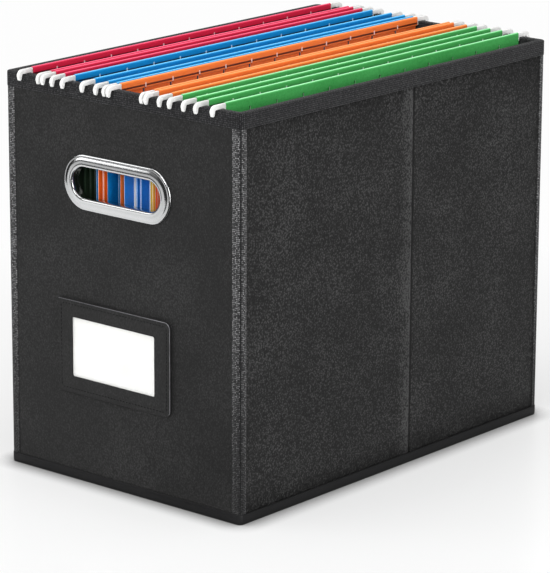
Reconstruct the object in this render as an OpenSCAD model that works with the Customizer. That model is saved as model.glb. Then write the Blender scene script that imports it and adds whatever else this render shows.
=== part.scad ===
// Portable file box for letter-size hanging folders, with folding side walls and a cloth bottom.
// The origin is at the middle of the underside. +Z is up, and -Y is the end wall with the label.

/* [Box] */
// Outside width of the box, across the folders
box_w = 198; // [190:1:240]
// Outside length of the box, along the folders
box_l = 310; // [308:1:330]
// Height from the floor to the top of the bound rim
box_h = 262; // [255:1:290]
// Outside radius of the upright corners
corner_r = 2.5; // [1.5:0.5:5]
// How far the fold crease of the side walls lies behind the middle
crease_y = 13; // [-20:1:20]
// Gap between the two half boards of a side wall, where it folds
crease_gap = 3; // [2:0.5:6]

/* [Walls] */
// Thickness of the leatherette on the outside
cover_t = 0.8; // [0.6:0.1:1.5]
// Thickness of the chipboard in the walls
board_t = 2.2; // [1.6:0.1:3]
// Thickness of the lining cloth
lining_t = 0.6; // [0.4:0.1:1]
// Thickness of the cloth bottom
bottom_t = 0.7; // [0.5:0.1:1.2]
// Thickness of the loose board on the bottom
base_board_t = 3; // [2:0.5:5]
// Gap all round the loose board
base_board_gap = 0.6; // [0.4:0.1:2]
// Gap between the end boards and the side boards, where the corners bend
hinge_gap = 0.6; // [0.3:0.1:1.5]
// Width of the groove that is pressed into the side covers at the crease
crease_w = 1.4; // [1:0.1:2.5]
// Depth of the crease groove
crease_depth = 0.5; // [0.2:0.1:0.5]

/* [Binding] */
// Height of the woven tape round the rim
rim_tape_h = 10; // [8:0.5:14]
// Height of the tape round the bottom edge
bottom_tape_h = 6.5; // [5:0.5:10]
// Width of the bottom tape under the box
bottom_tape_under = 9; // [6:0.5:14]
// Thickness of the tape at the rim and the bottom
tape_t = 0.8; // [0.6:0.1:1.2]
// Thickness of the tape over the top of the rim
rim_top_t = 1.2; // [1:0.1:2]
// Radius of the rounded edges of the rim
rim_r = 1; // [0.6:0.1:1.1]
// Width of the corner strip on the end walls
corner_strip_end = 6.5; // [5:0.5:10]
// Width of the corner strip on the side walls
corner_strip_side = 5; // [4:0.5:12]
// Thickness of the corner strip
corner_strip_t = 0.5; // [0.3:0.1:0.6]

/* [Handles] */
// Distance from the top of the rim down to the middle of the handle
handle_drop = 63; // [50:1:80]
// How far the front handle lies to the right of the middle
handle_x = -3; // [-10:0.5:10]
// Length of the handle hole
handle_hole_l = 74.4; // [66:0.2:84]
// Height of the handle hole
handle_hole_h = 20; // [18:0.5:26]
// Width of the metal flange round the hole
handle_flange_w = 8.3; // [6:0.1:11]
// Height of the rounded flange above the leatherette
handle_flange_t = 2.8; // [1.5:0.1:3.5]
// Thickness of the neck that passes through the wall
handle_neck_t = 1; // [0.8:0.1:1.6]
// Thickness of the backing ring inside the box
handle_backing_t = 1.2; // [0.8:0.1:1.5]
// Width of the backing ring
handle_backing_w = 6; // [4:0.5:8]
// Clearance round the neck in the wall
handle_clear = 0.2; // [0.1:0.05:0.5]

/* [Label holder] */
// Distance from the top of the rim down to the middle of the label holder
label_drop = 172.5; // [150:0.5:185]
// How far the label holder lies to the right of the middle
label_x = -5.5; // [-15:0.5:15]
// Width of the label holder
label_w = 96; // [86:1:110]
// Height of the label holder
label_h = 62; // [54:1:70]
// Width of the cut-out that shows the card
label_window_w = 71; // [60:1:76]
// Height of the cut-out
label_window_h = 39.5; // [32:0.5:44]
// How far the cut-out lies to the left of the middle of the holder
label_window_shift = 1; // [0:0.5:3]
// Radius of the two right corners of the holder
label_r = 4.5; // [2:0.5:8]
// Width of the sewn edge round three sides of the pocket
label_seam_w = 3; // [2:0.5:5]
// Thickness of the backing leaf
label_backing_t = 0.6; // [0.6:0.1:1]
// Thickness of the frame's leatherette
label_frame_t = 0.8; // [0.6:0.1:1.2]
// Thickness of the clear window
label_window_t = 0.3; // [0.2:0.05:0.5]
// Thickness of the paper card
label_card_t = 0.3; // [0.2:0.05:0.5]
// Clearance round the card in its pocket
label_clear = 0.05; // [0.05:0.05:0.2]

/* [Hanging folders] */
// Space between the loose bottom board and the fold of a folder
fold_gap = 26; // [15:1:45]
// Thickness of the folder card
card_t = 0.5; // [0.3:0.1:0.7]
// Gap between the end of a folder and the rim tape
folder_end_gap = 1.6; // [1:0.1:3]
// Width of the flat fold at the bottom of an empty folder
fold_w = 6.4; // [6:0.1:10]
// Thickness of the steel rod
rod_t = 1; // [0.8:0.1:1.4]
// Height of the steel rod
rod_h = 5.5; // [4.5:0.1:10]
// Clearance beside the rod in its hem
rod_clear = 0.1; // [0.05:0.05:0.2]
// Thickness of the coated hook
hook_t = 2; // [1.6:0.1:2.2]
// Height of the hook above the rim
hook_h = 3; // [2.5:0.1:4]
// Width of the hook's tip, along the rod
hook_tip_w = 3.3; // [2.5:0.1:5]
// Outside radius of the hook's bend
hook_bend_r = 4; // [3.2:0.1:5]
// Radius of the hook's rounded point
hook_point_r = 1.1; // [0.8:0.1:1.6]
// How far the hook's point leans in
hook_lean = 0.6; // [0:0.1:1]
// How far the tip reaches down outside the rim
hook_drop = 4; // [4:0.5:9]
// Distance from one tab slot in a folder to the next
slot_pitch = 25.4; // [15:0.1:40]
// Width of a tab slot
slot_w = 1.6; // [1:0.1:3]
// How far a tab slot reaches below the hem
slot_h = 4.5; // [3:0.5:12]
// Gap between the rim tape and the hook's shoulder inside
hook_gap_in = 0.4; // [0.3:0.1:0.6]
// Gap between the rim tape and the hook's tip outside
hook_gap_out = 2.9; // [2:0.1:4]

/* [Folder places] */
// Distances between the two rods of each folder, from the left
mouths = [16.6, 8.2, 17, 7.2, 28.1, 11.2, 11.5, 13.5]; // [7.2:0.1:30]
// Shares of the free room: left wall, between folders from the left, right wall
room_shares = [13, 3.8, 9, 3.5, 3.5, 8.3, 10, 14.65]; // [3.5:0.1:20]

/* [Card sleeves] */
// How far the top of a sleeve lies below the top of its folder
sleeve_drop = 14.5; // [10:0.5:40]
// How much shorter a sleeve is than a folder
sleeve_short = 2; // [1:0.5:10]
// Thickness of the sleeve card
sleeve_t = 0.4; // [0.3:0.1:0.6]
// Gap between sleeves, and between a sleeve and its folder
sleeve_gap = 0.35; // [0.3:0.05:1]
// How far the paper in a sleeve stays below its top
sheet_drop = 3.6; // [1:0.2:20]
// How much shorter the paper is than its sleeve
sheet_short = 17; // [4:1:30]

/* [Hidden] */
$fn = 64;
eps = 0.01;

// Wall layers, from the outside in: leatherette, board, lining
board_x = box_w / 2 - cover_t;
board_y = box_l / 2 - cover_t;
lining_x = board_x - board_t;
lining_y = board_y - board_t;
inner_x = lining_x - lining_t;
inner_y = lining_y - lining_t;
wall_t = cover_t + board_t + lining_t;
wall_z = tape_t + bottom_t;
wall_top = box_h - rim_top_t;
base_top = wall_z + base_board_t;

// Handle: the middle line of the stadium is as long as its straight sides
handle_z = box_h - handle_drop;
handle_c = (handle_hole_l - handle_hole_h) / 2;
handle_r = handle_hole_h / 2;
neck_r = handle_r + handle_neck_t;
cut_r = neck_r + handle_clear;

// Label pocket, in layers that start at the leatherette
label_z = box_h - label_drop;
card_y = label_backing_t + label_clear;
window_y = card_y + label_card_t + label_clear;
frame_y = window_y + label_window_t;

// Folders: rod heights, and places of the rods across the box
folder_l = 2 * (inner_y - tape_t - folder_end_gap);
rod_top = box_h + hook_h;
hem_top = rod_top + card_t;
hem_w = rod_t + 2 * (rod_clear + card_t);
hem_h = rod_h + 2 * card_t;
hem_low = hem_top - hem_h;
slots_each_side = floor((folder_l / 2 - slot_pitch / 2) / slot_pitch);
fold_z = base_top + fold_gap;
rod_end = box_l / 2 + tape_t + hook_gap_out + hook_tip_w;
FOLDERS = ["red_folder_1", "red_folder_2", "blue_folder_1", "blue_folder_2",
           "orange_folder_1", "orange_folder_2", "green_folder_1", "green_folder_2"];
CARD_COLOURS = ["crimson", "crimson", "dodgerblue", "dodgerblue",
                "darkorange", "darkorange", "mediumseagreen", "mediumseagreen"];
loaded = [false, false, true, false, true, false, false, false];

// Thicknesses of the sleeves in each bundle, and the room that a bundle needs beside the hems
dark_sleeves_t = [5.2, 4.6, 3.8];
orange_sleeves_t = [4.4, 4.1];
blue_sleeves_t = [10.4, 3.2, 7.6];
yellow_sleeve_t = [2.2];
load_in = hem_w / 2 + sleeve_gap;
sleeves_beside = 2;
function sum_to(v, n) = n == 0 ? 0 : v[n - 1] + sum_to(v, n - 1);
function bundle_w(v, n) = sum_to(v, n) + n * sleeve_gap;
sleeve_room = bundle_w(orange_sleeves_t, len(orange_sleeves_t)) - sleeve_gap + 2 * load_in;
free_room = 2 * inner_x - sum_to(mouths, len(mouths)) - sleeve_room;
room_unit = free_room / sum_to(room_shares, len(room_shares));
function left_rod(i) = -inner_x + sum_to(mouths, i) + room_before(i);
function right_rod(i) = left_rod(i) + mouths[i];
// The stood-up sleeves take their own room, which is no share of the rest
function room_before(i) = i <= sleeves_beside
    ? room_unit * sum_to(room_shares, i + 1)
    : room_unit * sum_to(room_shares, i) + sleeve_room;

// Card sleeves: the left face of each bundle, and the thicknesses of its sleeves
dark_x = left_rod(2) + load_in;
orange_x = right_rod(2) + load_in;
blue_x = left_rod(4) + load_in;
yellow_x = blue_x + bundle_w(blue_sleeves_t, len(blue_sleeves_t));
loaded_z = fold_z + card_t;
sleeve_l = folder_l - sleeve_short;
sleeve_h = hem_top - sleeve_drop - loaded_z;
sheet_l = sleeve_l - sheet_short;
sheet_h = sleeve_h - sleeve_t - sheet_drop;

// A rectangle with rounded corners, centred
module round_rect(w, l, r) {
    for (x = [-1, 1], y = [-1, 1])
        translate([x * (w / 2 - r), y * (l / 2 - r)]) circle(r);
    square([w - 2 * r, l], center = true);
    square([w, l - 2 * r], center = true);
}

// A stadium in the XZ plane, as thick as depth along Y, from y = 0 towards -Y
module stadium(half_l, r, depth) {
    rotate([90, 0, 0]) linear_extrude(depth) {
        square([2 * half_l, 2 * r], center = true);
        for (x = [-half_l, half_l]) translate([x, 0]) circle(r);
    }
}

// Everything at a handle is made for a wall whose outer face is y = 0, seen from the front
module at_front_handle() {
    translate([handle_x, -box_l / 2, handle_z]) children();
}

module at_rear_handle() {
    rotate([0, 0, 180]) at_front_handle() children();
}

module handle_cut() {
    translate([0, wall_t + 1, 0]) stadium(handle_c, cut_r, wall_t + 2);
}

module end_board() {
    color("burlywood") difference() {
        translate([-board_x + corner_r, -board_y, wall_z])
            cube([2 * (board_x - corner_r), board_t, wall_top - wall_z]);
        at_front_handle() handle_cut();
    }
}

module front_board() end_board();

module rear_board() rotate([0, 0, 180]) end_board();

// A half of a side wall's board, on the right side, from one y to another
module side_board(from_y, to_y) {
    color("burlywood") translate([lining_x, from_y, wall_z])
        cube([board_t, to_y - from_y, wall_top - wall_z]);
}

side_end = lining_y - hinge_gap;
module right_front_board() side_board(-side_end, crease_y - crease_gap / 2);
module right_rear_board() side_board(crease_y + crease_gap / 2, side_end);
module left_front_board() mirror([1, 0, 0]) right_front_board();
module left_rear_board() mirror([1, 0, 0]) right_rear_board();

// The leatherette all round the box, as a shell with rounded corners
module cover_shell() {
    translate([0, 0, wall_z]) linear_extrude(wall_top - wall_z) difference() {
        round_rect(box_w, box_l, corner_r);
        round_rect(2 * board_x, 2 * board_y, corner_r - cover_t);
    }
}

module end_cover() {
    color("dimgray") difference() {
        intersection() {
            cover_shell();
            translate([-box_w / 2 + corner_r, -box_l / 2 - 1, 0])
                cube([box_w - 2 * corner_r, 2 * corner_r, box_h]);
        }
        at_front_handle() handle_cut();
    }
}

module front_cover() end_cover();
module rear_cover() rotate([0, 0, 180]) end_cover();

// A side cover turns the two corners and has the pressed groove of the crease
module right_cover() {
    color("dimgray") difference() {
        intersection() {
            cover_shell();
            translate([box_w / 2 - corner_r, -box_l / 2, 0]) cube([corner_r, box_l, box_h]);
        }
        translate([box_w / 2, crease_y, 0]) linear_extrude(box_h)
            polygon([[-crease_depth, 0], [eps, -crease_w / 2], [eps, crease_w / 2]]);
    }
}

module left_cover() mirror([1, 0, 0]) right_cover();

module lining() {
    color("black") difference() {
        translate([0, 0, wall_z]) linear_extrude(wall_top - wall_z) difference() {
            square([2 * lining_x, 2 * lining_y], center = true);
            square([2 * inner_x, 2 * inner_y], center = true);
        }
        at_front_handle() handle_cut();
        at_rear_handle() handle_cut();
    }
}

module bottom_cloth() {
    color("black") translate([0, 0, tape_t]) linear_extrude(bottom_t)
        round_rect(box_w, box_l, corner_r);
}

module base_board() {
    color("#222222") translate([0, 0, wall_z]) linear_extrude(base_board_t)
        round_rect(2 * (inner_x - base_board_gap), 2 * (inner_y - base_board_gap), 3);
}

// Half of the rim tape's section, from the middle of the wall outwards, with a rounded top edge
module rim_outside_2d(middle) {
    difference() {
        union() {
            translate([0, box_h - rim_tape_h])
                square([middle + tape_t, rim_tape_h - rim_r]);
            translate([0, box_h - rim_r]) square([middle + tape_t - rim_r, rim_r]);
            translate([middle + tape_t - rim_r, box_h - rim_r]) circle(rim_r);
        }
        translate([-1, 0]) square([middle + 1, wall_top]);
    }
}

// The plug that the rim tape leaves open, with a flared and rounded top
module rim_inside_plug_2d(half) {
    difference() {
        translate([-half - rim_r, 0]) square([2 * (half + rim_r), box_h + 1]);
        for (side = [-1, 1]) translate([side * (half + rim_r), 0]) {
            translate([-rim_r, 0]) square([2 * rim_r, box_h - rim_r]);
            translate([0, box_h - rim_r]) circle(rim_r);
        }
    }
}

module rim_outside() {
    straight_x = box_w / 2 - corner_r;
    straight_y = box_l / 2 - corner_r;
    for (side = [0, 180]) rotate([0, 0, side]) {
        translate([straight_x, straight_y, 0]) rotate([90, 0, 0])
            linear_extrude(2 * straight_y) rim_outside_2d(corner_r);
        translate([-straight_x, straight_y, 0]) rotate([90, 0, 90])
            linear_extrude(2 * straight_x) rim_outside_2d(corner_r);
    }
    for (x = [-1, 1], y = [-1, 1]) translate([x * straight_x, y * straight_y, 0])
        rotate_extrude() rim_outside_2d(corner_r);
}

// The woven tape, folded over the rim: outside, top and inside
module rim_tape() {
    open_x = inner_x - tape_t;
    open_y = inner_y - tape_t;
    color("#303030") difference() {
        union() {
            rim_outside();
            translate([0, 0, box_h - rim_tape_h]) linear_extrude(rim_tape_h) difference() {
                square([box_w - 2 * corner_r, box_l - 2 * corner_r], center = true);
                square([2 * open_x, 2 * open_y], center = true);
            }
        }
        translate([0, 0, box_h - rim_tape_h - 1]) linear_extrude(wall_top - box_h + rim_tape_h + 1)
            difference() {
                round_rect(box_w, box_l, corner_r);
                square([2 * inner_x, 2 * inner_y], center = true);
            }
        intersection() {
            translate([0, box_l / 2, 0]) rotate([90, 0, 0])
                linear_extrude(box_l) rim_inside_plug_2d(open_x);
            translate([-box_w / 2, 0, 0]) rotate([90, 0, 90])
                linear_extrude(box_w) rim_inside_plug_2d(open_y);
        }
    }
}

// The tape round the bottom edge: up the walls and a little way under them
module bottom_tape() {
    outer_w = box_w + 2 * tape_t;
    outer_l = box_l + 2 * tape_t;
    color("#202020") difference() {
        linear_extrude(bottom_tape_h) round_rect(outer_w, outer_l, corner_r + tape_t);
        translate([0, 0, tape_t]) linear_extrude(bottom_tape_h)
            round_rect(box_w, box_l, corner_r);
        translate([0, 0, -1]) linear_extrude(bottom_tape_h)
            round_rect(box_w - 2 * bottom_tape_under, box_l - 2 * bottom_tape_under, corner_r);
    }
}

// The strip over an upright corner, between the two tapes
module corner_strip() {
    strip_top = box_h - rim_tape_h;
    color("#383838") translate([0, 0, bottom_tape_h])
        linear_extrude(strip_top - bottom_tape_h) intersection() {
            difference() {
                round_rect(box_w + 2 * corner_strip_t, box_l + 2 * corner_strip_t,
                           corner_r + corner_strip_t);
                round_rect(box_w, box_l, corner_r);
            }
            translate([box_w / 2 - corner_strip_end, -box_l / 2 - 1])
                square([corner_strip_end + 1, corner_strip_side + 1]);
        }
}

module front_right_corner_strip() corner_strip();
module front_left_corner_strip() mirror([1, 0, 0]) corner_strip();
module rear_right_corner_strip() mirror([0, 1, 0]) corner_strip();
module rear_left_corner_strip() mirror([1, 0, 0]) mirror([0, 1, 0]) corner_strip();

// Section of the ring: a low dome on the leatherette, and a neck through the wall.
// It is drawn for the hole's edge at x = 0, with the wall's outer face at y = 0.
module ring_2d() {
    dome_r = (pow(handle_flange_w / 2, 2) + pow(handle_flange_t, 2)) / (2 * handle_flange_t);
    intersection() {
        translate([handle_flange_w / 2, handle_flange_t - dome_r]) circle(dome_r, $fn = 96);
        square([handle_flange_w, handle_flange_t]);
    }
    translate([0, -wall_t - handle_backing_t])
        square([handle_neck_t, wall_t + handle_backing_t + eps]);
}

// A section swept round the stadium: two straight sides and two half turns
module swept_ring() {
    rotate([90, 0, 0]) {
        for (side = [-1, 1]) translate([side * handle_c, 0, 0]) rotate([0, 0, -side * 90])
            rotate_extrude(angle = 180) translate([handle_r, 0]) children();
        for (turn = [0, 180]) rotate([0, 0, turn])
            translate([-handle_c, handle_r, 0]) rotate([90, 0, 90])
                linear_extrude(2 * handle_c) children();
    }
}

module handle_ring() color("silver") swept_ring() ring_2d();

// The flat ring that the neck is crimped over, on the lining
module handle_backing() {
    color("silver") translate([0, wall_t + handle_backing_t, 0]) difference() {
        stadium(handle_c, neck_r + handle_backing_w, handle_backing_t);
        translate([0, 1, 0]) stadium(handle_c, neck_r, handle_backing_t + 2);
    }
}

module front_handle_ring() at_front_handle() handle_ring();
module front_handle_backing() at_front_handle() handle_backing();
module rear_handle_ring() at_rear_handle() handle_ring();
module rear_handle_backing() at_rear_handle() handle_backing();

// Label parts lie on the front leatherette, in layers towards -Y
module on_front(depth, thick) {
    translate([label_x, -box_l / 2 - depth, label_z]) rotate([90, 0, 0])
        linear_extrude(thick) children();
}

// The holder's outline, with its two right corners rounded
module label_outline_2d() {
    translate([-label_w / 2, -label_h / 2]) square([label_w - label_r, label_h]);
    translate([0, -label_h / 2 + label_r]) square([label_w / 2, label_h - 2 * label_r]);
    for (y = [-1, 1]) translate([label_w / 2 - label_r, y * (label_h / 2 - label_r)])
        circle(label_r);
}

// The pocket is open at its left end
module label_pocket_2d() {
    translate([-label_w / 2 - 1, -label_h / 2 + label_seam_w])
        square([label_w + 1 - label_seam_w, label_h - 2 * label_seam_w]);
}

module label_backing() color("#383838") on_front(0, label_backing_t) label_outline_2d();

module label_card() {
    inset = label_seam_w + 0.5;
    color("white") on_front(card_y, label_card_t)
        translate([-label_w / 2 + 2, -label_h / 2 + inset])
            square([label_w - 2 - inset, label_h - 2 * inset]);
}

module label_window() {
    color("#DDE6EA80") on_front(window_y, label_window_t)
        translate([-label_w / 2 + 1, -label_h / 2 + label_seam_w])
            square([label_w - 1 - label_seam_w, label_h - 2 * label_seam_w]);
}

module label_frame() {
    color("#343434") {
        on_front(frame_y, label_frame_t) difference() {
            label_outline_2d();
            translate([-label_window_shift, 0])
                square([label_window_w, label_window_h], center = true);
        }
        on_front(label_backing_t, frame_y - label_backing_t + eps) difference() {
            label_outline_2d();
            label_pocket_2d();
        }
    }
}

// A folder's section across the box. The hems stand upright and hold the rods.
// An empty folder hangs in a V, and a loaded one hangs straight.
function card_side(rod_x, bottom_x) = concat(
    [[bottom_x, fold_z], [rod_x - hem_w / 2, hem_low]],
    [for (a = [180:-22.5:0])
        [rod_x + hem_w / 2 * cos(a), hem_top - hem_w / 2 * (1 - sin(a))]],
    [[rod_x + hem_w / 2, hem_low], [rod_x - hem_w / 2 + card_t, hem_low],
     [bottom_x + card_t, fold_z + card_t]]);

// The row of slots for index tabs, across the lower edge of the hem at a rod
module tab_slots(rod_x) {
    for (k = [-slots_each_side:slots_each_side])
        translate([rod_x - hem_w, k * slot_pitch - slot_w / 2, hem_low - slot_h])
            cube([2 * hem_w, slot_w, slot_h + 1.5 * card_t]);
}

module folder_card(i) {
    xl = left_rod(i);
    xr = right_rod(i);
    middle = (xl + xr) / 2;
    half = loaded[i] ? (xr - xl + hem_w) / 2 : fold_w / 2;
    left = card_side(xl, middle - half);
    right = [for (k = [len(left) - 1:-1:0]) [2 * middle - left[k][0], left[k][1]]];
    color(CARD_COLOURS[i]) difference() {
        translate([0, folder_l / 2, 0]) rotate([90, 0, 0]) linear_extrude(folder_l) difference() {
            polygon(concat(left, right));
            for (x = [xl, xr]) translate([x - rod_t / 2 - rod_clear, rod_top - rod_h])
                square([rod_t + 2 * rod_clear, rod_h]);
        }
        for (x = [xl, xr]) tab_slots(x);
    }
}

// The hook at one end of a rod, in the YZ plane, for the +Y end.
// Its shoulder stands inside the rim tape, its bar lies on the rim, and its tip hangs outside.
module hook_2d() {
    shoulder = inner_y - tape_t - hook_gap_in;
    bend_z = rod_top - hook_bend_r;
    inner_r = hook_bend_r - hook_h;
    inner_y_at = rod_end - hook_tip_w - inner_r;
    point_y = rod_end - hook_lean - hook_point_r;
    point_z = box_h - hook_drop + hook_point_r;
    polygon(concat(
        [[folder_l / 2, rod_top - rod_h], [shoulder, rod_top - rod_h], [shoulder, box_h]],
        [for (a = [90:-22.5:0]) [inner_y_at + inner_r * cos(a), bend_z + inner_r * sin(a)]],
        [for (a = [180:30:360])
            [point_y + hook_point_r * cos(a), point_z + hook_point_r * sin(a)]],
        [for (a = [0:15:90])
            [rod_end - hook_bend_r * (1 - cos(a)), bend_z + hook_bend_r * sin(a)]],
        [[folder_l / 2, rod_top]]));
}

module rod(x) {
    color("silver") translate([x - rod_t / 2, -folder_l / 2, rod_top - rod_h])
        cube([rod_t, folder_l, rod_h]);
    color("white") for (end = [0, 1]) mirror([0, end, 0])
        translate([x - hook_t / 2, 0, 0]) rotate([90, 0, 90]) linear_extrude(hook_t) hook_2d();
}

// A bundle of sleeves side by side, from the left face x. Each is a card folded at the bottom.
module sleeves(x, z, widths) {
    translate([0, sleeve_l / 2, 0]) rotate([90, 0, 0]) linear_extrude(sleeve_l)
        for (i = [0:len(widths) - 1]) translate([x + bundle_w(widths, i), z]) difference() {
            square([widths[i], sleeve_h]);
            translate([sleeve_t, sleeve_t]) square([widths[i] - 2 * sleeve_t, sleeve_h]);
        }
}

// The sheets in the sleeves, standing on the sleeves' folds
module sheets(x, z, widths) {
    color("white") translate([0, sheet_l / 2, 0]) rotate([90, 0, 0]) linear_extrude(sheet_l)
        for (i = [0:len(widths) - 1])
            translate([x + bundle_w(widths, i) + sleeve_t, z + sleeve_t])
                square([widths[i] - 2 * sleeve_t, sheet_h]);
}

module dark_sleeves() color("#0A140C") sleeves(dark_x, loaded_z, dark_sleeves_t);
module dark_sheets() sheets(dark_x, loaded_z, dark_sleeves_t);
module orange_sleeves() color("orangered") sleeves(orange_x, base_top, orange_sleeves_t);
module orange_sheets() sheets(orange_x, base_top, orange_sleeves_t);
module blue_sleeves() color("#0055A0") sleeves(blue_x, loaded_z, blue_sleeves_t);
module yellow_sleeve() color("goldenrod") sleeves(yellow_x, loaded_z, yellow_sleeve_t);
module blue_and_yellow_sheets() {
    sheets(blue_x, loaded_z, blue_sleeves_t);
    sheets(yellow_x, loaded_z, yellow_sleeve_t);
}

front_board();
rear_board();
left_front_board();
left_rear_board();
right_front_board();
right_rear_board();
front_cover();
rear_cover();
left_cover();
right_cover();
lining();
bottom_cloth();
base_board();
rim_tape();
bottom_tape();
front_left_corner_strip();
front_right_corner_strip();
rear_left_corner_strip();
rear_right_corner_strip();
front_handle_ring();
front_handle_backing();
rear_handle_ring();
rear_handle_backing();
label_backing();
label_card();
label_window();
label_frame();
for (i = [0:len(FOLDERS) - 1]) {
    folder_card(i);
    rod(left_rod(i));
    rod(right_rod(i));
}
dark_sleeves();
dark_sheets();
orange_sleeves();
orange_sheets();
blue_sleeves();
yellow_sleeve();
blue_and_yellow_sheets();
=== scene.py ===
import math
import bmesh
import bpy
from mathutils import Matrix, Vector, noise


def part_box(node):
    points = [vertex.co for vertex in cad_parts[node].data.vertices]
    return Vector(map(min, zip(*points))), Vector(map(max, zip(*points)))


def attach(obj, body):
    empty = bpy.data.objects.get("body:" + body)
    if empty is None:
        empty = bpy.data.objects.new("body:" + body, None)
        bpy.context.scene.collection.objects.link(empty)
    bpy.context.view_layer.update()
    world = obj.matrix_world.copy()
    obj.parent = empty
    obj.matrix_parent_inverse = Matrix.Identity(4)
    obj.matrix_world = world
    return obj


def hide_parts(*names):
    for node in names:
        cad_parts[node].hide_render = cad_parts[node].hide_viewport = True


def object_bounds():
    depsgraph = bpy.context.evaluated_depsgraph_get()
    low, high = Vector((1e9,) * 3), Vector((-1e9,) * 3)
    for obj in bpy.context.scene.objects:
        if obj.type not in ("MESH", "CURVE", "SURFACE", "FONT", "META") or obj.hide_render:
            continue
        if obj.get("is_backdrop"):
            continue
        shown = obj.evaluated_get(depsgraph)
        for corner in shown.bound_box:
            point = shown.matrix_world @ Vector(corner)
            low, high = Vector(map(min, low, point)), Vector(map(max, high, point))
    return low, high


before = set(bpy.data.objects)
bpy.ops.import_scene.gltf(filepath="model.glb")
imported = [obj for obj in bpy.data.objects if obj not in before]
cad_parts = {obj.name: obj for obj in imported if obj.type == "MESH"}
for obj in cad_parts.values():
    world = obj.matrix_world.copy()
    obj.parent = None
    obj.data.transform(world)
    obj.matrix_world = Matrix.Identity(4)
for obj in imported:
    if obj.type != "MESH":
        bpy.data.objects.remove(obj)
cad_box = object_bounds()

# The photographer's camera: a long lens from a little above the rim, seeing the front and the right side.
# Its lens, place and slight roll were found from the box's corners in the photograph.
photo_height, focal_length, sensor_width = 573, 3373.68, 36.0
camera_place = (1.4004, -1.6553, 0.6951)
view_az, view_el, view_roll = (math.radians(a) for a in (40.335, 15.233, 0.252))
away = Vector((math.sin(view_az) * math.cos(view_el), -math.cos(view_az) * math.cos(view_el),
               math.sin(view_el)))
level = Vector((math.cos(view_az), math.sin(view_az), 0.0))
upright = away.cross(level)
camera_x = level * math.cos(view_roll) + upright * math.sin(view_roll)
camera_y = upright * math.cos(view_roll) - level * math.sin(view_roll)
camera = bpy.data.objects.new("camera", bpy.data.cameras.new("camera"))
camera.data.sensor_width = sensor_width
camera.data.lens = focal_length / photo_height * sensor_width
camera.matrix_world = (Matrix.Translation(camera_place)
                       @ Matrix((camera_x, camera_y, away)).transposed().to_4x4())
bpy.context.scene.collection.objects.link(camera)
bpy.context.scene.camera = camera

# The studio: a sheet of smooth white board under the box, in a pale grey room with five soft boxes.
# The board's colour carries a painted contact shadow, darkened by an occlusion mask where the box stands
# on it, and away from the box it glows plain white to the camera.
# Three black cards, two standing and one lying before the front, are there for the chrome to mirror.
mm = 0.001


def new_finish(name, colour, roughness, **sockets):
    """A material with a plain colour, to which the grain, weave or fibre is added."""
    finish = bpy.data.materials.new(name)
    finish.use_nodes = True
    shader = finish.node_tree.nodes["Principled BSDF"]
    shader.inputs["Base Color"].default_value = (*colour, 1.0)
    shader.inputs["Roughness"].default_value = roughness
    for socket, value in sockets.items():
        shader.inputs[socket.replace("_", " ")].default_value = value
    return finish


def wire(tree, kind, inputs=(), **settings):
    """Adds a node: each input is a number, a colour or another node's output."""
    made = tree.nodes.new("ShaderNode" + kind)
    for key, value in settings.items():
        setattr(made, key, value)
    for key, value in dict(inputs).items():
        if isinstance(value, bpy.types.NodeSocket):
            tree.links.new(value, made.inputs[key])
        else:
            made.inputs[key].default_value = value
    return made


def sums(operation, a, b=0.0):
    """One sum on numbers, such as a product or a sine, in the node tree that they come from."""
    tree = next(value.id_data for value in (a, b) if isinstance(value, bpy.types.NodeSocket))
    return wire(tree, "Math", {0: a, 1: b}, operation=operation).outputs[0]


def span(value, low, high, start=0.0, stop=1.0):
    """Stretches a value's run from low to high onto a run from start to stop."""
    return wire(value.id_data, "MapRange", {"Value": value, "From Min": low, "From Max": high,
                                            "To Min": start, "To Max": stop}).outputs["Result"]


def new_piece(name, bm, finish):
    """Makes an object of a bmesh, with one material."""
    mesh = bpy.data.meshes.new(name)
    bm.to_mesh(mesh)
    bm.free()
    piece = bpy.data.objects.new(name, mesh)
    mesh.materials.append(finish)
    bpy.context.scene.collection.objects.link(piece)
    return piece


bpy.context.scene.view_settings.view_transform = "Standard"
studio = bpy.context.scene.world or bpy.data.worlds.new("studio")
bpy.context.scene.world = studio
studio.use_nodes = True
room = studio.node_tree
heights = wire(room, "SeparateXYZ", {0: wire(room, "TexCoord").outputs["Generated"]})
ceiling = wire(room, "ValToRGB", {"Fac": heights.outputs["Z"]})
for step, place, grey in zip(ceiling.color_ramp.elements, (0.02, 0.75), (0.16, 1.0)):
    step.position = place
    step.color = (grey, grey, grey, 1.0)
room_light = room.nodes["Background"]
room.links.new(ceiling.outputs["Color"], room_light.inputs["Color"])
room_light.inputs["Strength"].default_value = 0.5
backdrop = wire(room, "Background", {"Color": (0.985, 0.985, 0.985, 1.0)})
choice = wire(room, "MixShader", {"Fac": wire(room, "LightPath").outputs["Is Camera Ray"],
                                  1: room_light.outputs[0], 2: backdrop.outputs[0]})
room.links.new(choice.outputs[0], room.nodes["World Output"].inputs["Surface"])

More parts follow.
